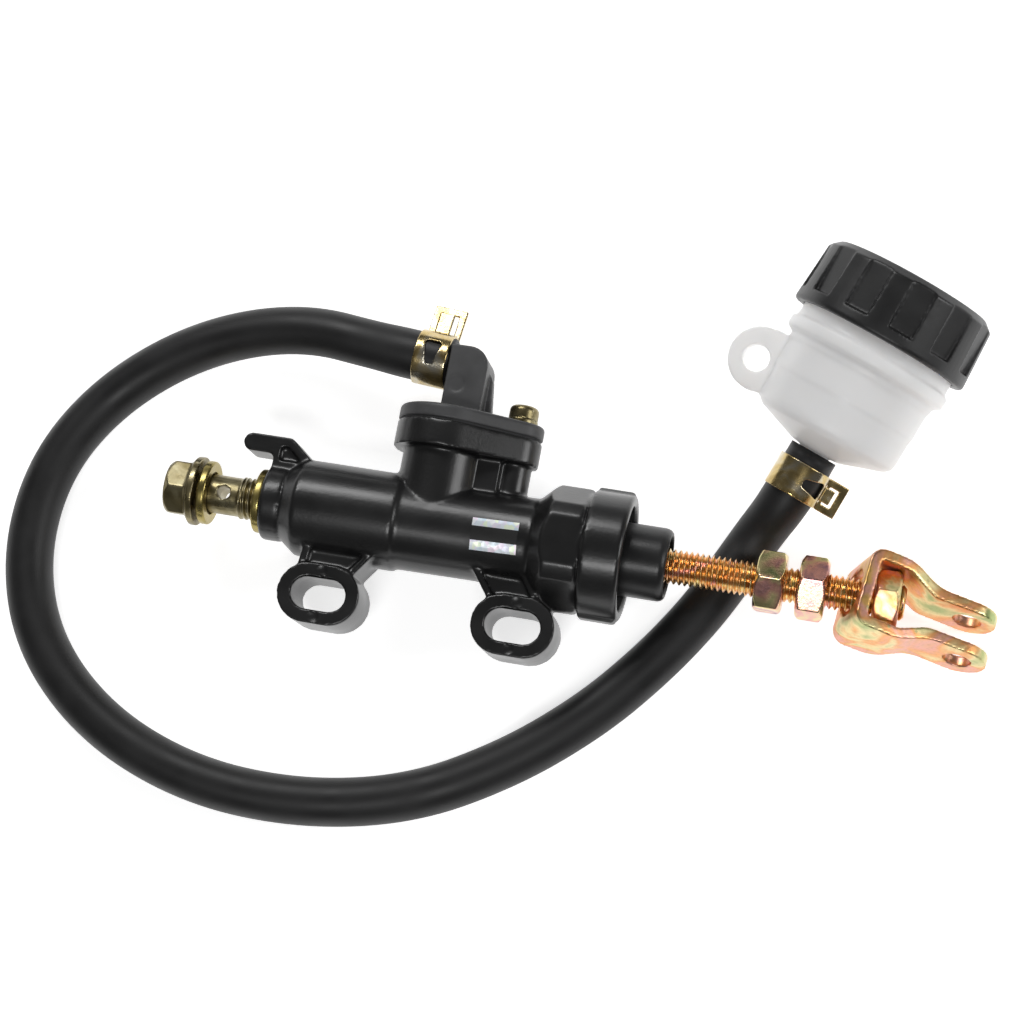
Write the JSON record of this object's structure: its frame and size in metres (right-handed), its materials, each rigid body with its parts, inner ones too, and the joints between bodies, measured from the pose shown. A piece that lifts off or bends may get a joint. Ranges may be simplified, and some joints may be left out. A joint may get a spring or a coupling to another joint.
{
  "type": "brake master cylinder",
  "caption": "Brake master cylinder with a slotted two-lug body, banjo bolt, pushrod and clevis, and a remote fluid reservoir on a looped rubber hose.",
  "frame": {"origin": "midway between the two mounting slots, on the lower face of the mounting lugs", "axes": "+X along the bore from the banjo bolt to the clevis, +Y from the slots to the inlet elbow, +Z along the mounting slots' axes, away from the surface it lies on"},
  "size_m": [0.2311, 0.1498, 0.0434],
  "materials": {
    "body_black": "satin black coat over cast aluminium",
    "elbow_black": "satin moulded black plastic",
    "gasket_rubber": "matt",
    "hose_rubber": "satin black rubber",
    "boot_rubber": "satin black rubber",
    "seal_rubber": "matt black rubber",
    "piston_alloy": "hard anodised",
    "spring_steel": "bright drawn wire",
    "plain_steel": "plain ground steel",
    "rod_gold": "gold and rose zinc passivation",
    "nut_rainbow": "rose, violet and green zinc passivation",
    "clevis_gold": "orange, rose and green zinc passivation",
    "bolt_olive": "olive zinc passivation",
    "seal_washer": "satin crush washer",
    "clamp_gold": "straw zinc passivation on spring steel",
    "reservoir_white": "milky translucent plastic",
    "cap_black": "satin black plastic",
    "plate_plastic": "plain plastic"
  },
  "bodies": {
    "cylinder": {"cylinder_body": "body_black", "inlet_elbow": "elbow_black", "inlet_gasket": "gasket_rubber", "cover_screw": "bolt_olive", "cover_screw_washer": "bolt_olive", "stop_washer": "plain_steel", "circlip": "plain_steel", "dust_boot": "boot_rubber", "return_spring": "spring_steel", "banjo_washer_inner": "seal_washer", "hose": "hose_rubber", "hose_clamp_elbow": "clamp_gold", "hose_clamp_reservoir": "clamp_gold", "reservoir": "reservoir_white", "reservoir_ear": "reservoir_white"},
    "piston_set": {"piston": "piston_alloy", "primary_cup": "seal_rubber", "secondary_cup": "seal_rubber"},
    "pushrod_body": {"pushrod": "rod_gold"},
    "lock_nut_inner_body": {"lock_nut_inner": "nut_rainbow"},
    "lock_nut_outer_body": {"lock_nut_outer": "nut_rainbow"},
    "clevis_nut_body": {"clevis_nut": "clevis_gold"},
    "clevis_body": {"clevis": "clevis_gold"},
    "banjo_washer_body": {"banjo_washer_outer": "seal_washer"},
    "banjo_bolt_body": {"banjo_bolt": "bolt_olive"},
    "cap_seal_body": {"diaphragm": "seal_rubber", "diaphragm_plate": "plate_plastic"},
    "cap_body": {"reservoir_cap": "cap_black"}
  },
  "joints": [
    {"name": "piston_stroke", "type": "slide", "parent": "cylinder", "child": "piston_set", "axis": [-1, 0, 0], "range_m": [0, 0.012], "stiffness_N_per_m": 1200, "springref_m": -0.0125, "deforming": ["return_spring", "hose"]},
    {"name": "pushrod_swivel", "type": "hinge", "parent": "piston_set", "child": "pushrod_body", "pos_m": [0.028, 0.02, 0.007], "axis": [0, 0, 1], "range_deg": [-2.5, 2.5]},
    {"name": "lock_nut_inner_turn", "type": "hinge", "parent": "pushrod_body", "child": "lock_nut_inner_body", "pos_m": [0.077, 0.02, 0.007], "axis": [1, 0, 0], "continuous": true},
    {"name": "lock_nut_outer_turn", "type": "hinge", "parent": "pushrod_body", "child": "lock_nut_outer_body", "pos_m": [0.0864, 0.02, 0.007], "axis": [1, 0, 0], "continuous": true},
    {"name": "clevis_turn", "type": "hinge", "parent": "pushrod_body", "child": "clevis_nut_body", "pos_m": [0.1029, 0.02, 0.007], "axis": [1, 0, 0], "continuous": true},
    {"name": "clevis_rock", "type": "hinge", "parent": "clevis_nut_body", "child": "clevis_body", "pos_m": [0.0979, 0.02, 0.007], "axis": [0, -0.8682, 0.4962], "range_deg": [0, 19.6]},
    {"name": "banjo_feed", "type": "slide", "parent": "cylinder", "child": "banjo_washer_body", "axis": [-1, 0, 0], "range_m": [0, 0.005]},
    {"name": "banjo_turn", "type": "hinge", "parent": "banjo_washer_body", "child": "banjo_bolt_body", "pos_m": [-0.05, 0.02, 0.007], "axis": [-1, 0, 0], "range_deg": [0, 1440]},
    {"name": "cap_lift", "type": "slide", "parent": "cylinder", "child": "cap_seal_body", "axis": [0.3646, 0.9161, 0.1668], "range_m": [0, 0.0045]},
    {"name": "cap_turn", "type": "hinge", "parent": "cap_seal_body", "child": "cap_body", "pos_m": [0.08155, 0.0499, 0.00725], "axis": [0.3646, 0.9161, 0.1668], "range_deg": [0, 540]}
  ],
  "couplings": [
    {"joint": "banjo_turn", "follows": "banjo_feed", "rad_per_m": 5026.5},
    {"joint": "cap_turn", "follows": "cap_lift", "rad_per_m": 2094.4}
  ]
}
